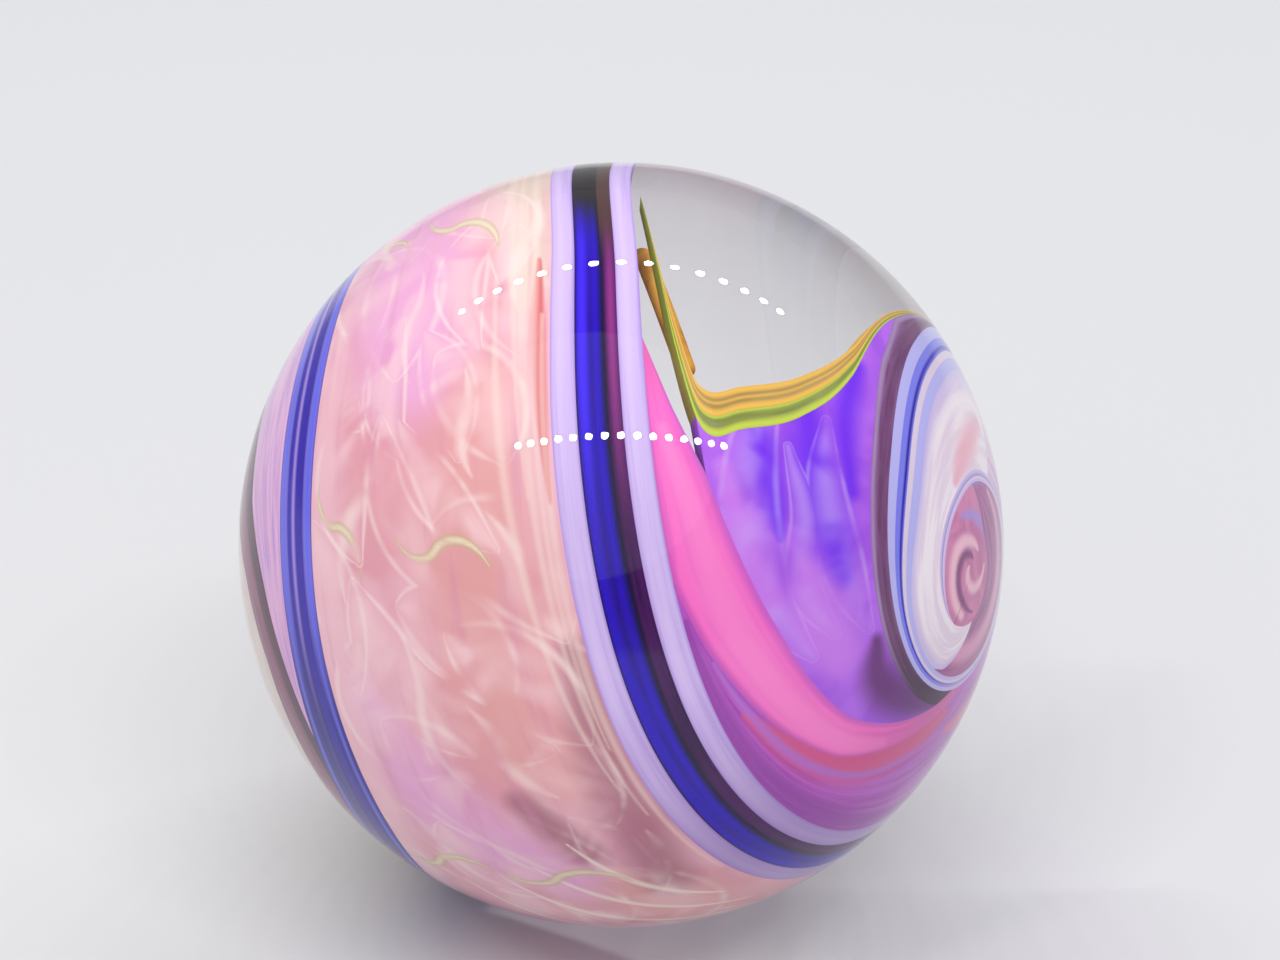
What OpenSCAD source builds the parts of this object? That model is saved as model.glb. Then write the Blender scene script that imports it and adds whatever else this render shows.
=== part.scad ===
// Glass marble with a striped ribbon wound from pole to pole.
// The coloured glasses lie side by side in one layer under a clear skin and are fused face to face.
// Millimetres, +Z up, origin at the middle of the ball.

/* [Ball] */
// Diameter of the finished ball
ball_d = 45; // [40:0.5:60]
// Clear glass over the colours
skin_t = 0.35; // [0.2:0.05:0.8]
// Depth of the coloured glasses under that skin
colour_t = 2.2; // [1.2:0.1:3.5]

/* [Swirl poles] */
// Direction of the right-hand pole, turned from +X about +Z
pole_turn = -27; // [-60:1:0]
// Lift of that pole above the level
pole_lift = 10; // [0:1:30]

/* [Striped ribbon] */
// Width of each lavender line where the ribbon is widest
lavender_w = 1.45; // [0.8:0.05:1.8]
// Width of the cobalt stripe there
cobalt_w = 1.65; // [1:0.05:2]
// Width of the amethyst stripe there
amethyst_w = 0.9; // [0.5:0.05:1.2]

/* [Window edge] */
// Width of the amber band along the window's lower edge
amber_w = 1.25; // [0.6:0.05:1.8]
// Width of the yellow-green band under it
green_w = 1.1; // [0.6:0.05:1.6]
// Diameter of the amber rod inside the clear glass
amber_rod_d = 1; // [0.6:0.05:1.4]
// Diameter of the green strand inside the clear glass
strand_d = 0.6; // [0.3:0.05:0.9]
// Clear glass between the coloured layer and the rods inside
rod_gap = 0.4; // [0.2:0.05:1]

/* [Fields] */
// Width of the mauve line beside the right-hand canes, as a share of its field
mauve_share = 0.09; // [0.05:0.01:0.14]
// Turn about the swirl's pole at which the magenta field gives way to the white one
white_turn = 300; // [280:10:310]

/* [Hidden] */
$fn = 96;

ball_r = ball_d / 2;
outer_r = ball_r - skin_t;
inner_r = outer_r - colour_t;
ribbon_w = 2 * lavender_w + cobalt_w + amethyst_w;
// Degrees of arc in a millimetre along the ball
arc = 180 / (PI * ball_r);
// Wedges reach from the middle of the ball to well outside it
wedge_far = 2 * ball_r;
// Two directions closer than this are one
same = 1e-6;
// Turn of the coloured layer's own axis, which runs through the middle of the pink panel and of the window
layer_turn = 43;
// Turns about the pole are in degrees, and all edges bend at these steps
step = 10;
full_turn = 360;
ribbon_start = -500;
ribbon_end = 850;
pink_end = -200;
// Along the front field: the swag's two ends, the pinks' start, and where the pinks fill the field
swag_start = 0;
swag_end = -50;
pink_start = 30;
magenta_start = 70;
fields_end = 170;
// The purple field meets the pinks' top edge here, and tapers out between them and the canes here
purple_start = 50;
pinks_close = 150;
// Where the glasses on the far side of the ribbon run out against it
violet_end = -260;
plum_end = -250;
mauve_end = -180;
// At the right-hand pole: the white panel's tip starts and ends, and the two swirls part from the ribbon
tip_start = 490;
tip_end = 530;
swirl_end = 690;

// The ribbon's middle line: turn about the pole, angle off the right-hand pole, share of full width
RIBBON = [
    [-500, 166, 0], [-420, 147, 0.45], [-360, 130, 0.62], [-320, 119, 0.64], [-280, 113.6, 0.62],
    [-240, 112, 0.8], [-170, 121.5, 0.9], [-110, 127, 0.9], [-60, 112.5, 0.95], [-10, 90, 0.95],
    [20, 75, 0.95], [50, 65.5, 1], [90, 57.5, 1], [140, 50, 0.9], [220, 45, 0.75],
    [290, 41, 0.6], [340, 30, 0.56], [390, 20.8, 0.5], [450, 18.1, 0.24], [540, 17, 0.14],
    [620, 18, 0.13], [670, 14.6, 0.13], [720, 10.8, 0.12], [780, 9.2, 0.1], [850, 9, 0]
];

// Edges inside the front field: turn, share of the way from the ribbon to the right-hand canes
PINK_LOW = [[magenta_start, 0], [80, 0.06], [100, 0.22], [120, 0.39], [140, 0.67], [160, 0.9], [fields_end, 1]];
PINK_TOP = [[pink_start, 0], [40, 0.09], [50, 0.2], [80, 0.4], [110, 0.56], [140, 0.84], [160, 1]];
// The window's lower edge hangs in a swag: share of the way to the canes, turn, share of the bands' width
SWAG = [
    [0.03, swag_start, 0], [0.07, 14, 0.3], [0.12, 25, 0.7], [0.2, 35, 1], [0.35, 32.5, 1],
    [0.6, 23, 1], [0.8, 5, 0.9], [0.9, -20, 0.6], [1, swag_end, 0]
];
// The purple field starts this far from the ribbon, with clear glass left of it
purple_from = 0.18;
// Corners along the swag: left of the purple field, above it, and above the mauve line
left_corners = 5;
purple_corners = 14;
mauve_corners = 3;

// The white panel's lower edge, then the line between the two swirls: turn, angle off the pole
WHITE_TIP = [[tip_start, 1], [500, 0.9], [510, 0.62], [520, 0.3], [tip_end, 0]];
SWIRL = [
    [tip_start, RIBBON[last(RIBBON)][1]], [tip_end, 8], [560, 7], [620, 6], [660, 7],
    [swirl_end, ribbon_off(swirl_end, 1)]
];

// Ends of the rod and the strand inside the clear core: turn, angle off the pole
AMBER_ROD = [[9, 72], [29, 57.5]];
GREEN_STRAND = [[33, 55.5], [42, 49.5]];

// Edges on the left of the ribbon: turn, degrees of arc beyond the ribbon's edge
VIOLET = [[ribbon_start, 3], [-420, 12], [-360, 17], [-300, 11.5], [-285, 6.5], [-270, 2.6], [violet_end, 0]];
PLUM = [[ribbon_start, 5], [-420, 16], [-360, 21], [-300, 16], [-285, 10], [-270, 5.5], [plum_end, 0]];
MAUVE = [
    [ribbon_start, 7], [-420, 22], [-360, 31], [-300, 25], [-285, 16], [-270, 10.5], [-240, 5], [mauve_end, 0]
];

// Value of a smooth curve through stations, each [place, value, ...], at one place
function last(t) = len(t) - 1;
function slope(t, i, c) =
    let (lo = max(i - 1, 0), hi = min(i + 1, last(t))) (t[hi][c] - t[lo][c]) / (t[hi][0] - t[lo][0]);
function reversed(t) = [for (i = [last(t) : -1 : 0]) t[i]];
function span_at(t, x) = max([0, for (i = [0 : last(t) - 1]) if (t[i][0] <= x) i]);
function smooth(t, x, c = 1) =
    let (i = span_at(t, x), h = t[i + 1][0] - t[i][0], k = (x - t[i][0]) / h)
    t[i][c] * (1 + 2 * k) * (1 - k) * (1 - k) + h * slope(t, i, c) * k * (1 - k) * (1 - k)
    + t[i + 1][c] * k * k * (3 - 2 * k) - h * slope(t, i + 1, c) * k * k * (1 - k);
// The same, straight between stations and held at both ends
function straight(t, x) = lookup(x, t);
function mix(a, b, s) = a + (b - a) * s;

// Unit vector at a turn about the pole and an angle off it, in the swirl's own frame with the pole up
function dir(turn, off) = [sin(off) * cos(turn), sin(off) * sin(turn), cos(off)];
// Angle off the pole across the ribbon, from its outer edge at 0 to its inner edge at 1
function ribbon_off(turn, f) =
    smooth(RIBBON, turn) + (0.5 - f) * ribbon_w * arc * smooth(RIBBON, turn, 2);
// Angle off the pole in the field between one winding and the next
function field_off(turn, s) = mix(ribbon_off(turn, 1), ribbon_off(turn + full_turn, 0), s);
function turns(from, to) = [from : step : to];
function ribbon_line(from, to, f) = [for (t = turns(from, to)) dir(t, ribbon_off(t, f))];
function field_line(from, to, s) = [for (t = turns(from, to)) dir(t, field_off(t, s))];
function field_curve(from, to, table) =
    [for (t = turns(from, to)) dir(t, field_off(t, straight(table, t)))];
// Edge of the two swirls, then of the ribbon's last winding, all round the right-hand pole
function swirl_off(turn) = turn < swirl_end ? smooth(SWIRL, turn) : ribbon_off(turn, 1);
function swirl_line(from, to) = [for (t = turns(from, to)) dir(t, swirl_off(t))];
function white_edge(from, to) =
    [for (t = turns(from, to)) dir(t, mix(swirl_off(t), ribbon_off(t, 1), straight(WHITE_TIP, t)))];
// Shares of the way to the canes at the corners of the swag
SWAG_AT = concat(
    [for (i = [0 : left_corners]) mix(SWAG[0][0], purple_from, i / left_corners)],
    [for (i = [1 : purple_corners]) mix(purple_from, 1 - mauve_share, i / purple_corners)],
    [for (i = [1 : mauve_corners]) mix(1 - mauve_share, 1, i / mauve_corners)]
);
// Corner i of a line that hangs the given millimetres below the window's edge, where the bands are full
function swag_corner(i, below) =
    let (s = SWAG_AT[i], t = smooth(SWAG, s), w = below * arc * smooth(SWAG, s, 2) / sin(field_off(t, s)))
    dir(t + w, field_off(t + w, s));
function swag_line(from, to, below) =
    [for (i = [from : from < to ? 1 : -1 : to]) swag_corner(i, below)];
// Left of the ribbon, kept short of the left-hand pole
function left_line(from, to, table) =
    [for (t = turns(from, to)) dir(t, ribbon_off(t, 0) + straight(table, t))];

function near_same(a, b) = norm(a - b) < same;
function first_same(points, i) = [for (j = [0 : i]) if (near_same(points[j], points[i])) j][0];
// Turns corner numbers into faces, and leaves out what has no area
function tri(a, b, c) = (a == b || b == c || a == c) ? [] : [[a, b, c]];
function quad(a, b, c, d) = concat(tri(a, b, c), tri(a, c, d));

// Wedge from the middle of the ball, between two lines of directions that run the same way.
// The first line lies on the right, seen from outside, and the lines may meet at their ends.
// The corners of the longer line are shared out along the shorter one.
module wedge(a, b) {
    n = max(last(a), last(b));
    ends = concat(
        [for (i = [0 : n]) a[round(i * last(a) / n)]],
        [for (i = [0 : n]) b[round(i * last(b) / n)]]
    );
    corner = [for (i = [0 : last(ends)]) 1 + first_same(ends, i)];
    faces = [for (i = [0 : n - 1])
        let (p = corner[i], q = corner[i + 1], r = corner[n + 1 + i], s = corner[n + 2 + i])
        each concat(
            quad(p, r, s, q),
            p == r && q == s ? [] : concat(tri(0, p, q), tri(0, s, r)),
            i == 0 ? tri(0, r, p) : [],
            i == n - 1 ? tri(0, q, s) : []
        )];
    polyhedron(points = concat([[0, 0, 0]], wedge_far * ends), faces = faces);
}

// The same from a closed outline that runs with the pole on its left, seen from outside
module cap(outline, pole) {
    n = len(outline);
    polyhedron(
        points = wedge_far * concat([[0, 0, 0], pole], outline),
        faces = [for (i = [0 : n - 1]) let (p = 2 + i, q = 2 + (i + 1) % n) each [[p, 1, q], [0, p, q]]]
    );
}

// Turns the swirl's own frame to the ball's, with the pole to the right and turn 0 at the top
module in_place() {
    rotate([0, 90 - pole_lift, pole_turn]) rotate([0, 0, 180]) children();
}
// Both ends of the layer's own axis lie in plain glass, clear of every edge
module coloured_layer() in_place() rotate([0, 90, layer_turn]) difference() {
    sphere(r = outer_r);
    sphere(r = inner_r);
}
// One glass of the coloured layer, cut out by wedges
module layer_piece() {
    intersection() {
        coloured_layer();
        in_place() children();
    }
}

module ribbon_stripe(from_f, to_f) {
    layer_piece() wedge(ribbon_line(ribbon_start, ribbon_end, from_f), ribbon_line(ribbon_start, ribbon_end, to_f));
}
module outer_lavender_line() color("#cdb4eb") ribbon_stripe(0, lavender_w / ribbon_w);
module cobalt_stripe() color("#2305b9") ribbon_stripe(lavender_w / ribbon_w, (lavender_w + cobalt_w) / ribbon_w);
module amethyst_stripe() color("#5a125f") ribbon_stripe((lavender_w + cobalt_w) / ribbon_w, 1 - lavender_w / ribbon_w);
module inner_lavender_line() color("#cdb4eb") ribbon_stripe(1 - lavender_w / ribbon_w, 1);

module pink_panel() color("#e6a5b4") layer_piece()
    wedge(ribbon_line(ribbon_start, pink_end, 1), ribbon_line(ribbon_start + full_turn, pink_end + full_turn, 0));

// The front field's clear window, all round the back and down to the swag
module window_wedge()
    wedge(
        concat(field_line(pink_end, swag_start, 0), swag_line(0, left_corners, 0)),
        concat(field_line(pink_end, swag_end - step, 1), swag_line(last(SWAG_AT), left_corners, 0))
    );
// The clear gap between the ribbon, the swag and the pinks
module gap_wedge()
    wedge(
        concat(field_line(swag_start, pink_start, 0), pink_top(pink_start + step, purple_start)),
        concat(swag_line(0, left_corners, amber_w + green_w), pink_top(purple_start, purple_start))
    );
// Band under the window, between two depths below its edge
module swag_wedge(from, to)
    wedge(swag_line(0, last(SWAG_AT), to), swag_line(0, last(SWAG_AT), from));
function pink_top(from, to) = field_curve(from, to, PINK_TOP);
// Edge between the purple field and the mauve line, down to where the pinks cross it
function mauve_edge() =
    [for (t = turns(0, pinks_close)) dir(t, field_off(t, max(1 - mauve_share, straight(PINK_TOP, t))))];
module magenta_wedge()
    wedge(
        field_line(magenta_start, white_turn, 0),
        concat(field_curve(magenta_start, fields_end, PINK_LOW), field_line(fields_end + step, white_turn, 1))
    );
module hot_pink_wedge()
    wedge(field_curve(pink_start, fields_end, PINK_LOW), pink_top(pink_start, fields_end));
module purple_wedge()
    wedge(
        concat(
            swag_line(left_corners + purple_corners, left_corners, amber_w + green_w),
            pink_top(purple_start, pinks_close)
        ),
        concat(swag_line(left_corners + purple_corners, left_corners + purple_corners, amber_w + green_w), mauve_edge())
    );
module mauve_wedge()
    wedge(
        concat(
            swag_line(last(SWAG_AT), left_corners + purple_corners, amber_w + green_w),
            mauve_edge(), pink_top(pinks_close + step, pinks_close + step)
        ),
        field_line(swag_end, pinks_close + step, 1)
    );

module magenta_ribbon() color("#a0468c") layer_piece() magenta_wedge();
module hot_pink_ribbon() color("#f573be") layer_piece() hot_pink_wedge();
module purple_panel() color("#aa64e1") layer_piece() purple_wedge();
module mauve_line() color("#824b69") layer_piece() mauve_wedge();
module amber_ribbon() color("#e1a53c") layer_piece() swag_wedge(0, amber_w);
module yellow_green_ribbon() color("#b9c346") layer_piece() swag_wedge(amber_w, amber_w + green_w);

// Round glass rod with melted ends, between two places in the clear core
module rod(ends, d) {
    r = inner_r - rod_gap - d / 2;
    p = r * dir(ends[0][0], ends[0][1]);
    q = r * dir(ends[1][0], ends[1][1]);
    v = q - p;
    in_place() translate(p) rotate([0, acos(v[2] / norm(v)), atan2(v[1], v[0])]) {
        cylinder(h = norm(v), d = d);
        sphere(d = d);
        translate([0, 0, norm(v)]) sphere(d = d);
    }
}
module amber_rod() color("#dc9632") rod(AMBER_ROD, amber_rod_d);
module green_strand() color("#6eb450") rod(GREEN_STRAND, strand_d);

// The swirl at the right-hand pole
module white_panel() color("#ebdce6") layer_piece()
    wedge(
        concat(ribbon_line(white_turn, tip_start - step, 1), white_edge(tip_start, tip_end)),
        concat(field_line(white_turn, tip_start - step, 1), swirl_line(tip_start, tip_end))
    );
module mauve_swirl() color("#b473aa") layer_piece()
    wedge(
        ribbon_line(tip_start, swirl_end, 1),
        concat(white_edge(tip_start, tip_end), swirl_line(tip_end + step, swirl_end))
    );
module pink_swirl() color("#e196b4") layer_piece()
    cap(swirl_line(tip_start, tip_start + full_turn - step), dir(0, 0));

// The glasses on the far side of the ribbon, up to the left-hand pole
module violet_panel() color("#b48cdc") layer_piece()
    wedge(left_line(ribbon_start, violet_end, VIOLET), ribbon_line(ribbon_start, violet_end, 0));
module plum_line() color("#3c0a32") layer_piece()
    wedge(left_line(ribbon_start, plum_end, PLUM), left_line(ribbon_start, plum_end, VIOLET));
module mauve_panel() color("#a56491") layer_piece()
    wedge(left_line(ribbon_start, mauve_end, MAUVE), left_line(ribbon_start, mauve_end, PLUM));
module cream_cap() color("#e6dcc8") layer_piece()
    cap(reversed(left_line(ribbon_start, ribbon_start + full_turn, MAUVE)), dir(0, 180));

module clear_glass() color("#dfe8ea", 0.35) difference() {
    sphere(r = ball_r);
    difference() {
        coloured_layer();
        in_place() window_wedge();
        in_place() gap_wedge();
    }
    amber_rod();
    green_strand();
}

clear_glass();
pink_panel();
outer_lavender_line();
cobalt_stripe();
amethyst_stripe();
inner_lavender_line();
magenta_ribbon();
hot_pink_ribbon();
purple_panel();
mauve_line();
amber_ribbon();
yellow_green_ribbon();
amber_rod();
green_strand();
white_panel();
mauve_swirl();
pink_swirl();
violet_panel();
plum_line();
mauve_panel();
cream_cap();
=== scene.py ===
# A handmade glass marble: a ball of clear glass with coloured glasses melted in just under its surface.
# A striped ribbon winds from pole to pole, and every other glass is laid between its windings.
import math

import bmesh
import bpy
import numpy as np
from mathutils import Matrix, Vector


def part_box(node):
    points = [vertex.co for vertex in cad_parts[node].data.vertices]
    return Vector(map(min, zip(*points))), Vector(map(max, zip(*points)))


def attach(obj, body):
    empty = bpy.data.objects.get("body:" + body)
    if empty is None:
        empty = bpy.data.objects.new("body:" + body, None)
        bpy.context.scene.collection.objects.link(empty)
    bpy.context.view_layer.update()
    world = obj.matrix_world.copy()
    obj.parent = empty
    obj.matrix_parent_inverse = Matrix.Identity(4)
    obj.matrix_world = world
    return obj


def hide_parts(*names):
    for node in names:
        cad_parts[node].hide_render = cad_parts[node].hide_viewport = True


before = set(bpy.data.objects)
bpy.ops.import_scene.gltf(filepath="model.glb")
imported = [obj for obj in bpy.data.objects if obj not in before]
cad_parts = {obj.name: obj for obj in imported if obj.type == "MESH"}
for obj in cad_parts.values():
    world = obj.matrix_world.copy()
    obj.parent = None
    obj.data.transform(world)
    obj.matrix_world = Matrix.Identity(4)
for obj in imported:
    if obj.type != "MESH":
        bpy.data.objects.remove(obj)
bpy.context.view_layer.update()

# The camera stands in front of the ball and looks down on it.
# The ball sits a little left of the picture's middle and below it.
BALL_R = (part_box("clear_glass")[1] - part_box("clear_glass")[0]).x / 2
CAMERA_DISTANCE = 8.5 * BALL_R
CAMERA_LIFT = math.radians(28)
PICTURE_W = 1280
LEFT_OF_MIDDLE_PX = 19
BELOW_MIDDLE_PX = 65
LENS_MM, SENSOR_MM = 90.9, 36
NEAREST_SEEN = 0.01
camera_data = bpy.data.cameras.new("camera")
camera_data.lens = LENS_MM
camera_data.sensor_width = SENSOR_MM
camera_data.shift_x = LEFT_OF_MIDDLE_PX / PICTURE_W
camera_data.shift_y = BELOW_MIDDLE_PX / PICTURE_W
camera_data.clip_start = NEAREST_SEEN
camera = bpy.data.objects.new("camera", camera_data)
camera.location = (0, -CAMERA_DISTANCE * math.cos(CAMERA_LIFT), CAMERA_DISTANCE * math.sin(CAMERA_LIFT))
camera.rotation_euler = (math.pi / 2 - CAMERA_LIFT, 0, 0)
bpy.context.scene.collection.objects.link(camera)
bpy.context.scene.camera = camera


# The pink panel, the wide field on the left: opal pink glass laid in between two windings of the ribbon.
# Its edges are the ribbon's own, and the law of that ribbon places all the other glasses too.
POLE_TURN = -27
POLE_LIFT = 10
LAVENDER_W, COBALT_W, AMETHYST_W = 1.45, 1.65, 0.9
RIBBON_W = 2 * LAVENDER_W + COBALT_W + AMETHYST_W
FULL_TURN = 360
RIBBON_START, RIBBON_END, PINK_END = -500, 850, -200
# The ribbon's middle line: turn about the swirl's pole, angle off that pole, share of full width
RIBBON = np.array([
    [-500, 166, 0], [-420, 147, 0.45], [-360, 130, 0.62], [-320, 119, 0.64], [-280, 113.6, 0.62],
    [-240, 112, 0.8], [-170, 121.5, 0.9], [-110, 127, 0.9], [-60, 112.5, 0.95], [-10, 90, 0.95],
    [20, 75, 0.95], [50, 65.5, 1], [90, 57.5, 1], [140, 50, 0.9], [220, 45, 0.75],
    [290, 41, 0.6], [340, 30, 0.56], [390, 20.8, 0.5], [450, 18.1, 0.24], [540, 17, 0.14],
    [620, 18, 0.13], [670, 14.6, 0.13], [720, 10.8, 0.12], [780, 9.2, 0.1], [850, 9, 0],
])
shell = np.array([v.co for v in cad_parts["pink_panel"].data.vertices])
LAYER_R = np.linalg.norm(shell, axis=1).max()
CORE_R = np.linalg.norm(shell, axis=1).min()
DEGREES_PER_MM = math.degrees(0.001 / BALL_R)
TO_BALL = np.array(
    Matrix.Rotation(math.radians(POLE_TURN), 3, "Z")
    @ Matrix.Rotation(math.radians(90 - POLE_LIFT), 3, "Y")
    @ Matrix.Rotation(math.pi, 3, "Z")
)


def smooth(table, x, column=1):
    """The smooth curve through a table's stations."""
    table, x = np.asarray(table, float), np.asarray(x, float)
    station, value = table[:, 0], table[:, column]
    low = np.maximum(np.arange(len(station)) - 1, 0)
    high = np.minimum(np.arange(len(station)) + 1, len(station) - 1)
    slope = (value[high] - value[low]) / (station[high] - station[low])
    i = np.clip(np.searchsorted(station, x, side="right") - 1, 0, len(station) - 2)
    h = station[i + 1] - station[i]
    k = (x - station[i]) / h
    return (
        value[i] * (1 + 2 * k) * (1 - k) ** 2 + h * slope[i] * k * (1 - k) ** 2
        + value[i + 1] * k * k * (3 - 2 * k) - h * slope[i + 1] * k * k * (1 - k)
    )


def mix(a, b, share):
    return a + (b - a) * share


def place(turn, off):
    """Direction from the ball's middle, at a turn about the swirl's pole and an angle off it."""
    turn, off = np.radians(turn), np.radians(off)
    return np.stack([np.sin(off) * np.cos(turn), np.sin(off) * np.sin(turn), np.cos(off)], -1) @ TO_BALL.T


def ribbon_off(turn, share):
    """Angle off the pole in the ribbon, from its outer edge at 0 to its inner edge at 1."""
    return smooth(RIBBON, turn) + (0.5 - share) * RIBBON_W * DEGREES_PER_MM * smooth(RIBBON, turn, 2)


TURN_STEP, FINE_TURN_STEP = 1.5, 0.55


def turns(start, end, step=TURN_STEP):
    return np.linspace(start, end, int(round(abs(end - start) / step)) + 1)


def ribbon_line(start, end, share, step=TURN_STEP):
    t = turns(start, end, step)
    return place(t, ribbon_off(t, share))


def unit(v):
    return v / np.linalg.norm(v, axis=-1, keepdims=True)


def spread(line, count):
    """The same line with its points shared out evenly."""
    gone = np.concatenate([[0], np.cumsum(np.linalg.norm(np.diff(line, axis=0), axis=1))])
    at = np.linspace(0, gone[-1], count)
    return unit(np.stack([np.interp(at, gone, line[:, c]) for c in range(3)], -1))


def mark(mesh, label, values):
    """Gives each point of a mesh a value, which its glass reads by the label."""
    mesh.attributes.new(label, "FLOAT", "POINT").data.foreach_set("value", values)


UNDERSIDE_COLUMNS = 6
MERGE_DISTANCE = 1e-7
SHARP_ANGLE = math.radians(40)


def piece(name, right, left, columns, rows=None, lift=0):
    """One glass of the coloured layer as a closed shell, between two lines that run the same way.
    It marks how far each point lies along the piece and across it. A lift raises it above its neighbours."""
    if rows or len(right) != len(left):
        rows = rows or max(len(right), len(left))
        right, left = spread(right, rows), spread(left, rows)
    rows = len(right)
    points, along, across, faces = [], [], [], []
    for radius, count in ((LAYER_R + lift, columns), (CORE_R, UNDERSIDE_COLUMNS)):
        share = np.linspace(0, 1, count + 1)[None, :, None]
        start = len(along)
        points += (radius * unit(mix(right[:, None], left[:, None], share))).reshape(-1, 3).tolist()
        along += np.repeat(np.linspace(0, 1, rows), count + 1).tolist()
        across += np.tile(share.ravel(), rows).tolist()
        for i in range(rows - 1):
            for j in range(count):
                a = start + i * (count + 1) + j
                face = (a, a + count + 1, a + count + 2, a + 1)
                faces.append(face if radius > CORE_R else face[::-1])
    under = rows * (columns + 1)
    for i in range(rows - 1):
        a, b = i * (columns + 1), under + i * (UNDERSIDE_COLUMNS + 1)
        faces.append((a, b, b + UNDERSIDE_COLUMNS + 1, a + columns + 1))
        a, b = a + columns, b + UNDERSIDE_COLUMNS
        faces.append((a, a + columns + 1, b + UNDERSIDE_COLUMNS + 1, b))
    for row in (0, rows - 1):
        a, b = row * (columns + 1), under + row * (UNDERSIDE_COLUMNS + 1)
        end = list(range(a, a + columns + 1)) + list(range(b + UNDERSIDE_COLUMNS, b - 1, -1))
        faces.append(end if row == 0 else end[::-1])
    mesh = bpy.data.meshes.new(name)
    mesh.from_pydata(points, [], faces)
    mark(mesh, "along", along)
    mark(mesh, "across", across)
    work = bmesh.new()
    work.from_mesh(mesh)
    bmesh.ops.remove_doubles(work, verts=work.verts, dist=MERGE_DISTANCE)
    bmesh.ops.recalc_face_normals(work, faces=work.faces)
    work.to_mesh(mesh)
    work.free()
    mesh.shade_smooth()
    mesh.set_sharp_from_angle(angle=SHARP_ANGLE)
    thing = bpy.data.objects.new(name, mesh)
    bpy.context.scene.collection.objects.link(thing)
    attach(thing, "root")
    return thing


def pink_off(turn, share):
    """Angle off the pole in the pink field, from the left-hand canes at 0 to the ribbon at 1."""
    return mix(ribbon_off(np.asarray(turn) - FULL_TURN, 1), ribbon_off(turn, 0), share)


LAYER_R_MM = 1000 * LAYER_R
FIRST_POINTS, POINT_SPACING_MM = 12, 0.08


def course(stations, off_at):
    """Directions and half widths in millimetres, along a line through turns, shares and half widths.
    A first rough line gives the length, and the second one has its points evenly close."""
    table = np.column_stack([np.arange(len(stations)), stations])
    count = FIRST_POINTS * len(stations)
    for _ in range(2):
        x = np.linspace(0, len(stations) - 1, count)
        turn, share, width = (smooth(table, x, column) for column in (1, 2, 3))
        line = place(turn, off_at(turn, share))
        length = LAYER_R_MM * np.linalg.norm(np.diff(line, axis=0), axis=1).sum()
        count = int(length / POINT_SPACING_MM) + 2
    return line, width


SEARCH_EVERY, SEARCH_MARGIN_MM, LEAST_WIDTH_MM = 8, 0.8, 0.01


def brush(thing, label, off_at, strokes):
    """Marks a piece along lines of melted glass: full on a line, and nothing at the line's half width.
    Only the points near a line are measured against it."""
    at = unit(np.array([v.co for v in thing.data.vertices]))
    value = np.zeros(len(at))
    for stations in strokes:
        line, width = course(stations, off_at)
        reach = (width.max() + SEARCH_MARGIN_MM) / LAYER_R_MM
        close = np.flatnonzero((at @ line[::SEARCH_EVERY].T).max(1) > math.cos(reach))
        away = LAYER_R_MM * np.sqrt(np.maximum(2 - 2 * at[close] @ line.T, 0))
        value[close] = np.maximum(value[close], 1 - (away / np.maximum(width, LEAST_WIDTH_MM)).min(1))
    mark(thing.data, label, value)


def srgb(red, green, blue):
    """A colour as seen, from 0 to 255, in the renderer's own scale."""
    shares = [c / 255 for c in (red, green, blue)]
    return tuple(c / 12.92 if c <= 0.04045 else ((c + 0.055) / 1.055) ** 2.4 for c in shares) + (1,)


class Value:
    """One output of a glass's nodes. Sums on it add the Math nodes that they need."""

    def __init__(self, glass, socket):
        self.glass, self.socket = glass, socket

    def math(self, operation, first, second):
        return self.glass.node("Math", {"operation": operation}, {0: first, 1: second})

    def __add__(self, other):
        return self.math("ADD", self, other)

    def __radd__(self, other):
        return self.math("ADD", other, self)

    def __sub__(self, other):
        return self.math("SUBTRACT", self, other)

    def __rsub__(self, other):
        return self.math("SUBTRACT", other, self)

    def __mul__(self, other):
        return self.math("MULTIPLY", self, other)

    def __rmul__(self, other):
        return self.math("MULTIPLY", other, self)

    def ramp(self, low, high):
        """Nothing at the low value, all at the high one, and smooth between."""
        settings = {"interpolation_type": "SMOOTHSTEP", "clamp": True}
        return self.glass.node("MapRange", settings, {"Value": self, "From Min": low, "From Max": high})

    def hump(self, middle, half):
        """All at a middle value, falling to nothing at half a width from it."""
        return self.math("ABSOLUTE", self - middle, 0).ramp(half, 0)


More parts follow.
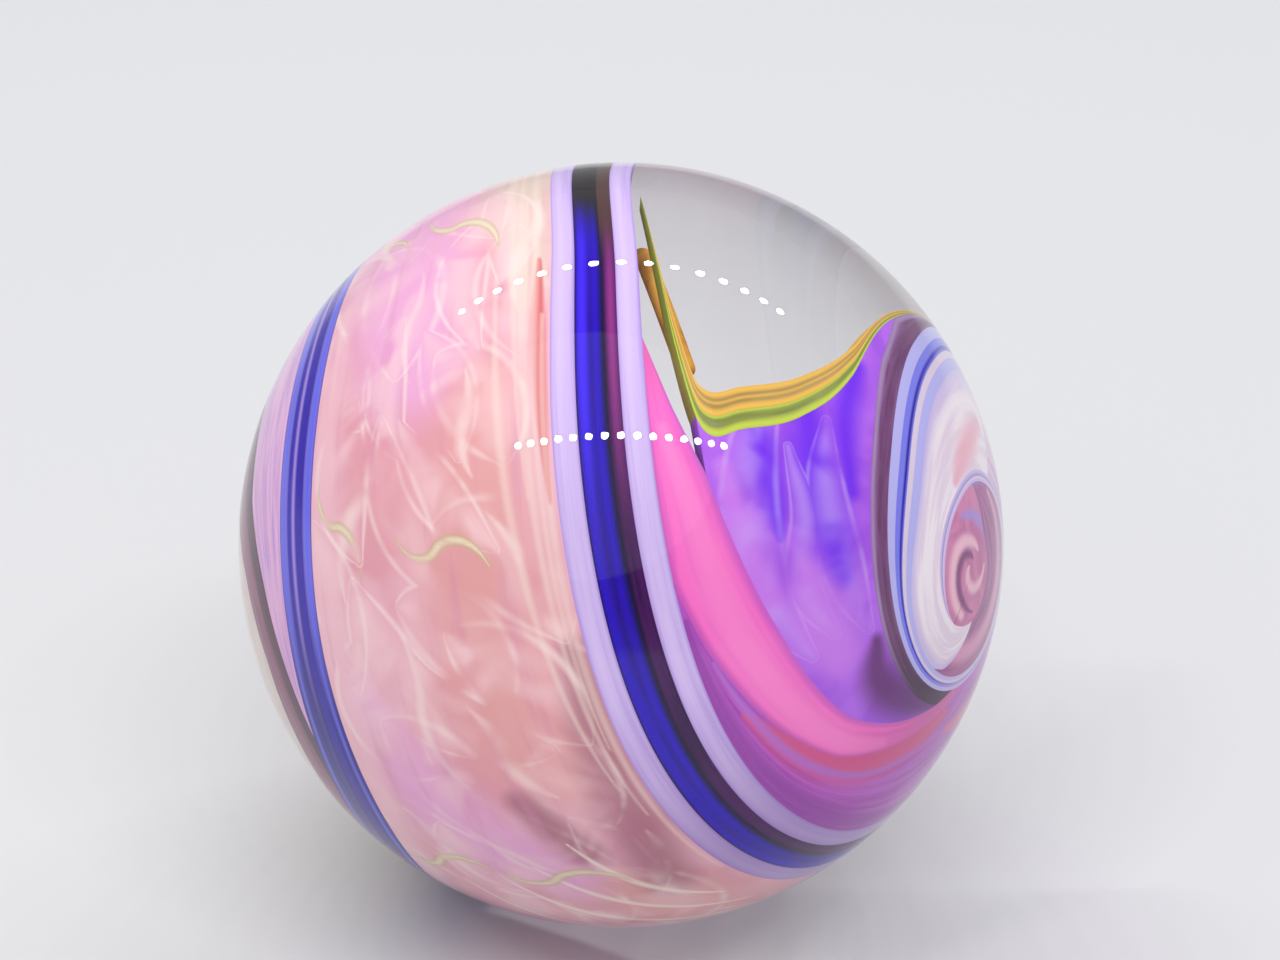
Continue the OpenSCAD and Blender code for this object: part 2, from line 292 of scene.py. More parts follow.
class Glass:
    """A piece's material. As it starts it is a coloured glass under the clear skin: its colour alone shows,
    and the skin gives the gloss."""

    def __init__(self, thing):
        self.material = bpy.data.materials.new(thing.name)
        self.material.use_nodes = True
        self.tree = self.material.node_tree
        self.body = self.tree.nodes["Principled BSDF"]
        self.body.inputs["Roughness"].default_value = 0.5
        self.body.inputs["Specular IOR Level"].default_value = 0
        thing.data.materials.clear()
        thing.data.materials.append(self.material)

    def node(self, kind, settings=None, inputs=None, output=0):
        made = self.tree.nodes.new("ShaderNode" + kind)
        for key, value in (settings or {}).items():
            setattr(made, key, value)
        for key, value in (inputs or {}).items():
            if isinstance(value, Value):
                self.tree.links.new(value.socket, made.inputs[key])
            else:
                made.inputs[key].default_value = value
        return Value(self, made.outputs[output])

    def mark(self, label):
        return self.node("Attribute", {"attribute_name": label}, output="Fac")

    def blend(self, under, over, share):
        """A colour laid over another by a share."""
        return self.node("Mix", {"data_type": "RGBA"}, {0: share, 6: under, 7: over}, 2)

    def cloud(self, scale, detail=2, distortion=0):
        """Soft noise through the ball, with its scale in lumps to the millimetre."""
        inputs = {"Vector": self.node("TexCoord", output="Object"), "Scale": 1000 * scale, "Detail": detail,
                  "Distortion": distortion}
        return self.node("TexNoise", {}, inputs)

    def streaks(self, along, across):
        """Noise drawn out along the piece, as in pulled glass, by its scales along and across."""
        where = self.node("CombineXYZ", {}, {0: self.mark("along") * along, 1: self.mark("across") * across})
        return self.node("TexNoise", {}, {"Vector": where, "Scale": 1, "Detail": 3})

    def paint(self, colour):
        self.tree.links.new(colour.socket, self.body.inputs["Base Color"])

    def see_through(self, alpha):
        self.tree.links.new(alpha.socket, self.body.inputs["Alpha"])


PINK_COLUMNS = 130
pink_panel = piece(
    "pink_opal", ribbon_line(RIBBON_START, PINK_END, 1, FINE_TURN_STEP),
    ribbon_line(RIBBON_START + FULL_TURN, PINK_END + FULL_TURN, 0, FINE_TURN_STEP), PINK_COLUMNS
)
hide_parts("pink_panel")

# Broad melted zones, each as turn, share across and half width; the shade zone among them is no glass but
# painted shade, low on the ball beside the ribbon.
CREAM_ZONE = [[[-40, 0.8, 4], [-5, 0.88, 4.2], [12, 0.88, 3], [28, 0.93, 1.2]]]
ORCHID_ZONE = [
    [[-60, 0.3, 5], [-10, 0.35, 5.5], [20, 0.35, 6.5], [40, 0.45, 5]],
    [[88, 0.14, 2], [106, 0.3, 4.5], [122, 0.6, 4]],
    [[150, 0.3, 6], [200, 0.5, 6]],
]
SALMON_ZONE = [
    [[44, 0.75, 3], [62, 0.7, 5], [88, 0.7, 5.5], [100, 0.78, 3]], [[128, 0.75, 4], [165, 0.85, 5]],
]
PAINTED_SHADE_ZONE = [
    [[80, 0.96, 1.6], [96, 0.93, 2.6], [112, 0.9, 3.2], [128, 0.84, 2.6]], [[104, 0.6, 1.5], [116, 0.7, 2.4]],
]
PALE_EDGE = [[[28, 0.05, 1.4], [60, 0.06, 2.6], [100, 0.05, 1.8], [135, 0.06, 1.4]]]
RED_STREAK = [[[20, 0.95, 0.2], [32, 0.955, 0.6], [44, 0.965, 0.5], [58, 0.975, 0.15]]]
FOOT_BANDS = [
    [[113, 0.66, 0.1], [126, 0.76, 0.4], [139, 0.9, 0.15]],
    [[118, 0.5, 0.1], [131, 0.66, 0.4], [148, 0.9, 0.15]],
    [[121, 0.36, 0.1], [137, 0.56, 0.5], [158, 0.88, 0.15]],
    [[124, 0.2, 0.1], [144, 0.44, 0.5], [170, 0.8, 0.15]],
]
# Fine filaments that the ribbon dragged along beside it: shares at the two ends, first and last turn
FILAMENTS = [
    (0.8, 0.9, -20, 58), (0.86, 0.93, -10, 80), (0.89, 0.95, 5, 110), (0.925, 0.96, -16, 96),
    (0.78, 0.92, 24, 104), (0.97, 0.985, 30, 130),
]
# Inside the panel lie pale leaf-shaped veils, drawn one over another in slanting rows, with threads of pale
# and of olive glass waving between them.
FIELD_MM = 20
STROKE_POINTS, STROKE_TIP = 9, 0.12
VEIL_ROWS, VEIL_COLUMNS = 22, 4
FIRST_TURN, ROW_TURN, STAGGER_TURN = -158, 18, 6
FIRST_SHARE, COLUMN_SHARE = 0.15, 0.21
SLANT, SLANT_SWING = 28, 22
rng = np.random.default_rng(7)


def drawn(turn, share, heading, length, bend, width):
    """Stations of a line of glass in the pink panel, in millimetres and degrees, that bends as it runs."""
    steps = np.linspace(0, 1, STROKE_POINTS)
    middle = STROKE_POINTS // 2
    angle = np.radians(heading + np.interp(steps, [0, 0.5, 1], bend))
    run = np.cumsum(np.cos(angle)) * length / STROKE_POINTS
    rise = np.cumsum(np.sin(angle)) * length / STROKE_POINTS
    shrink = np.sin(np.radians(pink_off(turn, share)))
    return np.column_stack([
        turn + (run - run[middle]) * DEGREES_PER_MM / shrink,
        share + (rise - rise[middle]) / FIELD_MM,
        width * mix(STROKE_TIP, 1, np.sin(np.pi * steps)),
    ])


veils, pale_threads, olive_threads = ([], []), [], []
for i in range(VEIL_ROWS):
    for j in range(VEIL_COLUMNS):
        turn = FIRST_TURN + ROW_TURN * i + STAGGER_TURN * (j % 2) + rng.uniform(-3, 3)
        share = FIRST_SHARE + COLUMN_SHARE * j + rng.uniform(-0.06, 0.06)
        heading = SLANT + SLANT_SWING * math.sin(0.9 * i + j) + rng.uniform(-14, 14)
        bend = rng.uniform(15, 50) * rng.choice([-1, 1])
        veils[(i + j) % 2].append(
            drawn(turn, share, heading, rng.uniform(8, 13), (-bend, 0, bend), rng.uniform(1.6, 3.2)))
        if (i + 2 * j) % 3 == 0:
            pale_threads.append(drawn(
                turn + 5, share + 0.06, heading - 24, rng.uniform(7, 13), (30, -24, 30),
                rng.uniform(0.4, 0.9)))
        if (2 * i + 3 * j) % 6 == 0:
            olive_threads.append(drawn(
                turn + 7, share, heading + 30, rng.uniform(8, 12), (-60, 56, -36), rng.uniform(0.4, 0.6)))
filaments = [
    [[first, start, 0.2], [mix(first, last, 0.3), mix(start, end, 0.2), 0.42],
     [mix(first, last, 0.65), mix(start, end, 0.6), 0.34], [last, end, 0.12]]
    for start, end, first, last in FILAMENTS
]
for label, strokes in (
    ("cream", CREAM_ZONE), ("orchid", ORCHID_ZONE), ("salmon", SALMON_ZONE), ("shade", PAINTED_SHADE_ZONE),
    ("edge", PALE_EDGE), ("red", RED_STREAK), ("foot", FOOT_BANDS), ("veil_a", veils[0]),
    ("veil_b", veils[1]), ("thread", pale_threads), ("olive", olive_threads), ("filament", filaments),
):
    brush(pink_panel, label, pink_off, strokes)
pink = Glass(pink_panel)
patches = pink.cloud(0.13, 2, 0.8)
colour = pink.blend(srgb(236, 178, 192), srgb(228, 158, 170), patches.ramp(0.4, 0.62))
colour = pink.blend(colour, srgb(236, 170, 212), pink.mark("orchid").ramp(0, 0.8) * patches.ramp(0.2, 0.5))
colour = pink.blend(colour, srgb(228, 160, 158), pink.mark("salmon").ramp(0, 0.8) * 0.85)
# Painted shade: a darker dusky pink over the shade zone, low on the ball beside the ribbon.
colour = pink.blend(colour, srgb(164, 98, 118), pink.mark("shade").ramp(0, 0.9) * 0.8)
colour = pink.blend(colour, srgb(222, 203, 186), pink.mark("cream").ramp(0, 0.9) * 0.85)
colour = pink.blend(colour, srgb(246, 196, 208), pink.mark("edge").ramp(0, 0.9) * 0.7)
colour = pink.blend(colour, srgb(216, 140, 172), pink.streaks(9, 16).ramp(0.52, 0.7) * 0.35)
for label, strength in (("veil_a", 0.75), ("veil_b", 0.6)):
    veil = pink.mark(label)
    fade = pink.cloud(0.2, 2, 1).ramp(0.36, 0.62) * strength
    colour = pink.blend(colour, srgb(248, 208, 212), veil.ramp(0.02, 0.9) * fade * 0.8)
    colour = pink.blend(colour, srgb(252, 226, 224), veil.hump(0.14, 0.15) * fade * 0.8)
colour = pink.blend(colour, srgb(214, 86, 96), pink.mark("red").ramp(0, 0.7) * 0.85)
fade = pink.cloud(0.28, 2).ramp(0.3, 0.62)
colour = pink.blend(colour, srgb(250, 224, 220), pink.mark("thread").ramp(0, 1) * fade * 0.6)
colour = pink.blend(colour, srgb(246, 222, 208), pink.mark("filament").ramp(0, 1) * 0.45)
colour = pink.blend(colour, srgb(250, 230, 216), pink.mark("foot").ramp(0, 0.9) * 0.8)
olive = pink.mark("olive")
fade = pink.cloud(0.4, 2).ramp(0.25, 0.55)
colour = pink.blend(colour, srgb(196, 180, 130), olive.ramp(0, 0.7) * fade * 0.8)
colour = pink.blend(colour, srgb(240, 222, 196), olive.ramp(0.35, 0.9) * fade * 0.85)
pink.paint(colour)

# The ribbon: four rods of cane, lavender, cobalt, amethyst and lavender again, melted side by side into one
# strip and wound round the gather from the left-hand pole to the right-hand one.
LAVENDER_SHARE, COBALT_SHARE = LAVENDER_W / RIBBON_W, COBALT_W / RIBBON_W
CANE_COLUMNS, CANE_TURN_STEP = 12, 1
STRIPES = (
    ("outer_lavender_line", "outer_lavender_cane", 0, LAVENDER_SHARE, "lavender"),
    ("cobalt_stripe", "cobalt_cane", LAVENDER_SHARE, LAVENDER_SHARE + COBALT_SHARE, "cobalt"),
    ("amethyst_stripe", "amethyst_cane", LAVENDER_SHARE + COBALT_SHARE, 1 - LAVENDER_SHARE, "amethyst"),
    ("inner_lavender_line", "inner_lavender_cane", 1 - LAVENDER_SHARE, 1, "lavender"),
)


def share_of(turn):
    """How far along the ribbon a turn lies, as its canes are marked."""
    return (turn - RIBBON_START) / (RIBBON_END - RIBBON_START)


def cane(node, name, start, end, slot):
    """One cane of the ribbon, between two shares of the ribbon's width."""
    thing = piece(
        name, ribbon_line(RIBBON_START, RIBBON_END, start, CANE_TURN_STEP),
        ribbon_line(RIBBON_START, RIBBON_END, end, CANE_TURN_STEP), CANE_COLUMNS
    )
    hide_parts(node)
    return Glass(thing)


for stripe in (STRIPES[0], STRIPES[3]):
    lavender = cane(*stripe)
    along, across = lavender.mark("along"), lavender.mark("across")
    colour = lavender.blend(
        srgb(206, 182, 234), srgb(192, 164, 226), lavender.streaks(40, 4).ramp(0.45, 0.68))
    colour = lavender.blend(colour, srgb(160, 126, 212), across.hump(0, 0.14) * 0.6)
    colour = lavender.blend(colour, srgb(146, 112, 204), across.hump(1, 0.14) * 0.6)
    colour = lavender.blend(colour, srgb(226, 206, 246), across.hump(0.42, 0.3) * 0.35)
    # Painted shade: the canes turn darker and greyer where they run over the lower part of the ball.
    colour = lavender.blend(colour, srgb(150, 118, 184), along.ramp(share_of(84), share_of(130)) * 0.6)
    left, right = along.ramp(share_of(-205), share_of(-240)), along.ramp(share_of(200), share_of(300))
    colour = lavender.blend(colour, srgb(98, 104, 240), left * across.hump(0.5, 0.75))
    colour = lavender.blend(colour, srgb(44, 26, 180), left * (1 - across.hump(0.5, 0.6)) * 0.85)
    colour = lavender.blend(colour, srgb(184, 184, 244), right * 0.85)
    low = along.ramp(share_of(-292), share_of(-262)) * along.ramp(share_of(-205), share_of(-225))
    colour = lavender.blend(colour, srgb(34, 14, 140), low * (1 - across.hump(0.5, 0.3) * 0.8))
    colour = lavender.blend(colour, srgb(206, 186, 230), along.ramp(share_of(480), share_of(530)) * 0.9)
    lavender.paint(colour)
cobalt = cane(*STRIPES[1])
along, across = cobalt.mark("along"), cobalt.mark("across")
colour = cobalt.blend(srgb(38, 0, 184), srgb(34, 0, 138), cobalt.streaks(30, 3).ramp(0.4, 0.7))
# Painted highlight: a brighter blue spot on the cane where the light falls.
colour = cobalt.blend(colour, srgb(66, 36, 240), across.hump(0.26, 0.3) * along.hump(share_of(34), 0.035))
colour = cobalt.blend(colour, srgb(14, 2, 52), across.ramp(0.76, 1) * 0.9)
colour = cobalt.blend(colour, srgb(16, 6, 44), across.hump(0, 0.1))
# Painted shade: nearly black where the ribbon crosses the top of the ball. It stands for the dark seen
# through the glass there, not the cane's own colour.
painted_dark_top = along.ramp(share_of(16), share_of(3)) * along.ramp(share_of(-70), share_of(-30))
colour = cobalt.blend(colour, srgb(22, 14, 20), painted_dark_top)
left, right = along.ramp(share_of(-205), share_of(-250)), along.ramp(share_of(220), share_of(300))
colour = cobalt.blend(colour, srgb(40, 18, 176), left)
colour = cobalt.blend(colour, srgb(176, 146, 226), left * across.hump(0.6, 0.3) * 0.85)
colour = cobalt.blend(colour, srgb(128, 130, 238), right * (1 - across.hump(0.72, 0.26)) * 0.9)
colour = cobalt.blend(colour, srgb(30, 10, 128), along.ramp(share_of(-292), share_of(-262)) * left * 0.9)
colour = cobalt.blend(colour, srgb(184, 164, 220), along.ramp(share_of(480), share_of(530)) * 0.85)
cobalt.paint(colour)
amethyst = cane(*STRIPES[2])
along, across = amethyst.mark("along"), amethyst.mark("across")
colour = amethyst.blend(srgb(70, 8, 88), srgb(44, 2, 64), amethyst.streaks(40, 3).ramp(0.42, 0.66))
# Painted highlight: a brighter spot on the cane where the light falls.
painted_glint = across.hump(0.6, 0.5) * along.hump(share_of(30), 0.028)
colour = amethyst.blend(colour, srgb(150, 52, 136), painted_glint * 0.85)
colour = amethyst.blend(colour, srgb(14, 2, 40), across.hump(0, 0.3))
# Painted shade: dark brown where the ribbon crosses the top of the ball. It stands for the dark seen through
# the glass there, not the cane's own colour.
painted_dark_top = along.ramp(share_of(20), share_of(7)) * along.ramp(share_of(-70), share_of(-30))
colour = amethyst.blend(colour, srgb(78, 50, 40), painted_dark_top * 0.9)
left, right = along.ramp(share_of(-220), share_of(-260)), along.ramp(share_of(240), share_of(310))
colour = amethyst.blend(colour, srgb(46, 24, 170), left * 0.95)
colour = amethyst.blend(colour, srgb(232, 214, 234), right * 0.9)
amethyst.paint(colour)

# The front field, between the ribbon and its next winding: magenta, hot pink and purple glasses
# laid side by side, with a mauve line along the far edge.
SWAG_START, SWAG_END = 0, -50
PINK_START, MAGENTA_START, FIELDS_END = 30, 70, 170
PURPLE_START, PINKS_CLOSE, MAUVE_CLOSE, WHITE_TURN = 50, 150, 160, 300
MAUVE_SHARE, PURPLE_FROM = 0.09, 0.18
AMBER_W, GREEN_W = 1.25, 1.1
MAGENTA_COLUMNS, MAGENTA_ROWS = 90, 420
HOT_PINK_COLUMNS, HOT_PINK_ROWS = 50, 260
PURPLE_COLUMNS, PURPLE_ROWS = 120, 360
MAUVE_COLUMNS, MAUVE_ROWS = 16, 260
SWAG_POINTS = 160
PINK_LOW = [[70, 0], [80, 0.06], [100, 0.22], [120, 0.39], [140, 0.67], [160, 0.9], [170, 1]]
PINK_TOP = [[30, 0], [40, 0.09], [50, 0.2], [80, 0.4], [110, 0.56], [140, 0.84], [160, 1]]
# The window's lower edge: share of the way across the field, turn, share of the bands' width
SWAG = [
    [0.03, SWAG_START, 0], [0.07, 14, 0.3], [0.12, 25, 0.7], [0.2, 35, 1], [0.35, 32.5, 1],
    [0.6, 23, 1], [0.8, 5, 0.9], [0.9, -20, 0.6], [1, SWAG_END, 0],
]


def field_off(turn, share):
    """Angle off the pole in the front field, from the ribbon at 0 to its next winding at 1."""
    return mix(ribbon_off(turn, 1), ribbon_off(np.asarray(turn) + FULL_TURN, 0), share)


def field_line(start, end, share):
    t = turns(start, end)
    return place(t, field_off(t, share))


def table_line(start, end, table, least=0):
    """A line in the front field whose share across it follows a table of turns."""
    t = turns(start, end)
    stations = np.array(table, float)
    return place(t, field_off(t, np.maximum(least, np.interp(t, stations[:, 0], stations[:, 1]))))


def swag_line(start, end, below):
    """A line along the window's lower edge, or the given millimetres below it."""
    share = np.linspace(start, end, int(abs(end - start) * SWAG_POINTS) + 2)
    t = smooth(SWAG, share)
    t = t + below * DEGREES_PER_MM * smooth(SWAG, share, 2) / np.sin(np.radians(field_off(t, share)))
    return place(t, field_off(t, share))


low_edge = table_line(MAGENTA_START, FIELDS_END, PINK_LOW)
magenta_piece = piece(
    "magenta_glass", field_line(MAGENTA_START, WHITE_TURN, 0),
    np.concatenate([low_edge, field_line(FIELDS_END + TURN_STEP, WHITE_TURN, 1)]),
    MAGENTA_COLUMNS, MAGENTA_ROWS
)
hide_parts("magenta_ribbon")
CRIMSON = [[[96, 0.12, 0.4], [112, 0.27, 1.7], [130, 0.46, 2.4], [146, 0.7, 2.1], [160, 0.84, 1]],
           [[170, 0.7, 0.6], [200, 0.6, 1.6], [240, 0.55, 1.4], [280, 0.5, 0.6]]]
DEEP_BLUE = [
    [[76, 0.01, 0.3], [98, 0.03, 0.9], [120, 0.05, 1.3], [145, 0.07, 1.2], [175, 0.1, 0.8], [220, 0.12, 0.8]],
]
LILAC_EDGE = [[[84, 0.075, 0.15], [98, 0.15, 0.4], [114, 0.24, 0.5], [132, 0.38, 0.4], [150, 0.6, 0.2]],
              [[190, 0.5, 0.4], [215, 0.35, 1.2], [250, 0.3, 1.2], [290, 0.3, 0.5]]]
for label, strokes in (("crimson", CRIMSON), ("deep_blue", DEEP_BLUE), ("lilac", LILAC_EDGE)):
    brush(magenta_piece, label, field_off, strokes)
magenta = Glass(magenta_piece)
colour = magenta.blend(srgb(190, 90, 202), srgb(164, 66, 172), magenta.streaks(4, 9).ramp(0.4, 0.66))
colour = magenta.blend(colour, srgb(216, 84, 134), magenta.mark("crimson").ramp(0, 0.9) * 0.9)
colour = magenta.blend(colour, srgb(148, 62, 164), magenta.mark("deep_blue").ramp(0, 0.8) * 0.85)
colour = magenta.blend(colour, srgb(180, 110, 206), magenta.mark("lilac").ramp(0, 0.9) * 0.8)
colour = magenta.blend(colour, srgb(196, 104, 178), magenta.streaks(6, 24).ramp(0.54, 0.72) * 0.35)
colour = magenta.blend(
    colour, srgb(226, 196, 226), (magenta.mark("along") + magenta.streaks(5, 14) * 0.3).ramp(1.02, 1.16))
magenta.paint(colour)

hot_pink_piece = piece(
    "hot_pink_glass", table_line(PINK_START, FIELDS_END, PINK_LOW),
    table_line(PINK_START, FIELDS_END, PINK_TOP), HOT_PINK_COLUMNS, HOT_PINK_ROWS
)
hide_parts("hot_pink_ribbon")
ROSE_HEART = [
    [[44, 0.05, 0.5], [58, 0.13, 1.2], [76, 0.2, 1.7], [96, 0.32, 1.7], [116, 0.46, 1.2], [130, 0.6, 0.5]],
]
brush(hot_pink_piece, "rose", field_off, ROSE_HEART)
hot_pink = Glass(hot_pink_piece)
along, across = hot_pink.mark("along"), hot_pink.mark("across")
colour = hot_pink.blend(srgb(250, 112, 198), srgb(238, 100, 194), hot_pink.streaks(4, 7).ramp(0.4, 0.65))
colour = hot_pink.blend(colour, srgb(252, 132, 204), hot_pink.mark("rose").ramp(0, 0.9) * 0.85)
colour = hot_pink.blend(colour, srgb(190, 88, 196), across.ramp(0.8, 1) * 0.75)
colour = hot_pink.blend(colour, srgb(190, 80, 176), across.ramp(0.14, 0) * 0.7)
colour = hot_pink.blend(colour, srgb(198, 92, 160), along.ramp(0.7, 0.95) * 0.8)
colour = hot_pink.blend(colour, srgb(214, 92, 164), along.ramp(0.14, 0) * 0.8)
hot_pink.paint(colour)

mauve_edge = table_line(0, PINKS_CLOSE, PINK_TOP, 1 - MAUVE_SHARE)
under_bands = swag_line(1 - MAUVE_SHARE, PURPLE_FROM, AMBER_W + GREEN_W)
purple_piece = piece(
    "purple_glass", np.concatenate([under_bands, table_line(PURPLE_START, PINKS_CLOSE, PINK_TOP)]),
    np.concatenate([under_bands[:1], mauve_edge]), PURPLE_COLUMNS, PURPLE_ROWS
)
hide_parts("purple_panel")
# Deep violet lies under the bands, and thin sheets of pale glass hang from them.
VIOLET_HEART = [
    [[36, 0.4, 0.8], [44, 0.44, 2], [54, 0.47, 1.3], [60, 0.48, 0.4]],
    [[28, 0.62, 1.4], [40, 0.64, 3], [54, 0.7, 2.8], [68, 0.76, 1.2]],
    [[10, 0.82, 1], [26, 0.78, 1.8], [44, 0.82, 1]],
]
LILAC_HEART = [
    [[66, 0.6, 1.5], [78, 0.6, 3.2], [90, 0.66, 2.4]],
    [[48, 0.27, 0.8], [62, 0.32, 1.6], [74, 0.4, 1.4]],
]
# Painted shade, not a glass: dark plum along the field's far edge, low on the ball near the ribbon's next
# winding.
PAINTED_SHADE_FOOT = [[[92, 0.86, 0.8], [106, 0.8, 2.2], [124, 0.86, 2.2], [146, 0.93, 1]]]
SHEETS = [
    [[28, 0.5, 0.4], [42, 0.4, 1.5], [58, 0.36, 1.9], [74, 0.4, 1.5], [88, 0.52, 0.4]],
    [[30, 0.7, 0.4], [46, 0.7, 1.4], [66, 0.76, 1.6], [86, 0.84, 0.4]],
    [[40, 0.54, 0.3], [54, 0.6, 1], [70, 0.56, 1.2], [84, 0.66, 0.4]],
]
for label, strokes in (
    ("violet", VIOLET_HEART), ("lilac", LILAC_HEART), ("plum", PAINTED_SHADE_FOOT), ("sheet", SHEETS),
):
    brush(purple_piece, label, field_off, strokes)
purple = Glass(purple_piece)
colour = purple.blend(srgb(180, 100, 234), srgb(164, 84, 226), purple.cloud(0.25, 2, 1).ramp(0.38, 0.64))
colour = purple.blend(colour, srgb(202, 122, 234), purple.mark("lilac").ramp(0, 0.9) * 0.9)
colour = purple.blend(colour, srgb(112, 36, 236), purple.mark("violet").ramp(0, 1) * 0.95)
# Painted shade: the plum mark darkens the purple low on the ball.
colour = purple.blend(colour, srgb(92, 28, 98), purple.mark("plum").ramp(0, 0.9) * 0.9)
sheet = purple.mark("sheet")
fade = purple.cloud(0.2, 2, 1).ramp(0.3, 0.62)
colour = purple.blend(colour, srgb(206, 164, 244), sheet.ramp(0, 1) * fade * 0.5)
colour = purple.blend(colour, srgb(222, 192, 248), sheet.hump(0.16, 0.18) * fade * 0.3)
purple.paint(colour)

mauve_piece = piece(
    "mauve_glass", np.concatenate([swag_line(1, 1 - MAUVE_SHARE, AMBER_W + GREEN_W), mauve_edge]),
    field_line(SWAG_END, MAUVE_CLOSE, 1), MAUVE_COLUMNS, MAUVE_ROWS
)
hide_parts("mauve_line")
mauve = Glass(mauve_piece)
along, across = mauve.mark("along"), mauve.mark("across")
colour = mauve.blend(srgb(140, 92, 142), srgb(112, 66, 116), mauve.streaks(12, 5).ramp(0.4, 0.66))
colour = mauve.blend(colour, srgb(176, 148, 196), across.hump(0.12, 0.22) * 0.7)
colour = mauve.blend(colour, srgb(92, 48, 88), across.hump(0.66, 0.5) * 0.6)
# Painted shade: the mauve line turns darkest towards its end, low on the ball beside the plum shade.
colour = mauve.blend(colour, srgb(60, 16, 62), along.ramp(0.7, 0.95))
mauve.paint(colour)

# The two bands along the window's lower edge: amber and yellow-green rods, pulled thin and laid on the
# gather, which let a little light through. The rod and the strand beside them lie inside the clear glass.
BAND_COLUMNS, BAND_ROWS = 24, 260
BAND_LIFT = 0.00001
BAND_ALPHA = 0.8
BAND_START = SWAG[0][0]
amber_piece = piece(
    "amber_band", swag_line(BAND_START, 1, AMBER_W), swag_line(BAND_START, 1, 0),
    BAND_COLUMNS, BAND_ROWS, 2 * BAND_LIFT
)
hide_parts("amber_ribbon")
amber = Glass(amber_piece)
across = amber.mark("across")
rims = across.hump(0.9, 0.28) + across.hump(0.1, 0.3) + across.hump(0.52, 0.14) * 0.6
colour = amber.blend(srgb(198, 164, 100), srgb(184, 146, 82), amber.streaks(8, 3).ramp(0.4, 0.62))
colour = amber.blend(colour, srgb(236, 184, 84), rims)
amber.paint(colour)
amber.see_through(rims.ramp(0, 0.7) * (1 - BAND_ALPHA) + BAND_ALPHA)
green_piece = piece(
    "green_band", swag_line(BAND_START, 1, AMBER_W + GREEN_W), swag_line(BAND_START, 1, AMBER_W),
    BAND_COLUMNS, BAND_ROWS, BAND_LIFT
)
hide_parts("yellow_green_ribbon")
green = Glass(green_piece)
across = green.mark("across")
rims = across.hump(0.16, 0.4) + across.hump(0.95, 0.2) * 0.8
colour = green.blend(srgb(156, 166, 84), srgb(138, 150, 70), green.streaks(8, 3).ramp(0.4, 0.62))
colour = green.blend(colour, srgb(196, 210, 76), rims)
green.paint(colour)
green.see_through(rims.ramp(0, 0.7) * (1 - BAND_ALPHA) + BAND_ALPHA)
rod = Glass(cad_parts["amber_rod"])
colour = rod.blend(srgb(232, 172, 74), srgb(186, 126, 56), rod.cloud(0.3, 2, 1).ramp(0.4, 0.62))
rod.paint(colour)
strand = Glass(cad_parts["green_strand"])
strand.paint(strand.blend(srgb(116, 178, 84), srgb(176, 206, 146), strand.cloud(0.6).ramp(0.42, 0.6)))

# The swirl at the right-hand pole: a white panel that runs out to a tip, and a mauve and a pink glass
# drawn round each other with a pointed tool.
TIP_START, TIP_END, SWIRL_END = 490, 530, 690
SWIRL_COLUMNS, SWIRL_ROWS = 60, 300
PINK_SWIRL_COLUMNS = 48
WHITE_TIP = [[490, 1], [500, 0.9], [510, 0.62], [520, 0.3], [530, 0]]
SWIRL = [[490, 9], [530, 8], [560, 7], [620, 6], [660, 7], [690, float(ribbon_off(690, 1))]]


def swirl_off(turn):
    return np.where(turn < SWIRL_END, smooth(SWIRL, turn), ribbon_off(turn, 1))


def swirl_line(start, end):
    t = turns(start, end)
    return place(t, swirl_off(t))


def white_edge(start, end):
    """The white panel's tip, from the swirl's edge to the ribbon's."""
    t = turns(start, end)
    tip = np.array(WHITE_TIP, float)
    return place(t, mix(swirl_off(t), ribbon_off(t, 1), np.interp(t, tip[:, 0], tip[:, 1])))


def bare_off(turn, off):
    """Lines near a pole give their angle off it outright."""
    return off


white_piece = piece(
    "white_opal",
    np.concatenate([ribbon_line(WHITE_TURN, TIP_START - TURN_STEP, 1), white_edge(TIP_START, TIP_END)]),
    np.concatenate([field_line(WHITE_TURN, TIP_START - TURN_STEP, 1), swirl_line(TIP_START, TIP_END)]),
    SWIRL_COLUMNS, SWIRL_ROWS
)
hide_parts("white_panel")
ROSE_TOP = [[[-52, 24, 0.8], [-36, 19, 1.5], [-20, 15.5, 1.2], [-5, 13, 0.5]]]
brush(white_piece, "rose", bare_off, ROSE_TOP)
white = Glass(white_piece)
across = white.mark("across")
colour = white.blend(srgb(244, 232, 240), srgb(232, 212, 230), white.streaks(4, 6).ramp(0.4, 0.62))
colour = white.blend(colour, srgb(196, 178, 230), across.hump(0, 0.3) * 0.8)
colour = white.blend(colour, srgb(238, 170, 188), white.mark("rose").ramp(0, 0.9) * 0.85)
colour = white.blend(colour, srgb(214, 198, 238), white.streaks(3, 14).ramp(0.54, 0.74) * 0.3)
white.paint(colour)

mauve_swirl = piece(
    "mauve_spiral", ribbon_line(TIP_START, SWIRL_END, 1),
    np.concatenate([white_edge(TIP_START, TIP_END), swirl_line(TIP_END + TURN_STEP, SWIRL_END)]),
    SWIRL_COLUMNS, SWIRL_ROWS
)
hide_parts("mauve_swirl")
BLUE_ARC = [
    [[-84, 21, 0.3], [-58, 16.6, 0.8], [-30, 13.4, 1.1], [0, 11.6, 1.1], [40, 10.4, 1], [90, 10, 0.8],
     [140, 9.8, 0.3]],
]
PINK_ARC = [
    [[60, 11.8, 0.3], [100, 12, 0.8], [150, 12.4, 1.1], [200, 12.6, 1.1], [260, 13, 0.8], [300, 13.6, 0.3]],
]
brush(mauve_swirl, "blue", bare_off, BLUE_ARC)
brush(mauve_swirl, "pink", bare_off, PINK_ARC)
spiral = Glass(mauve_swirl)
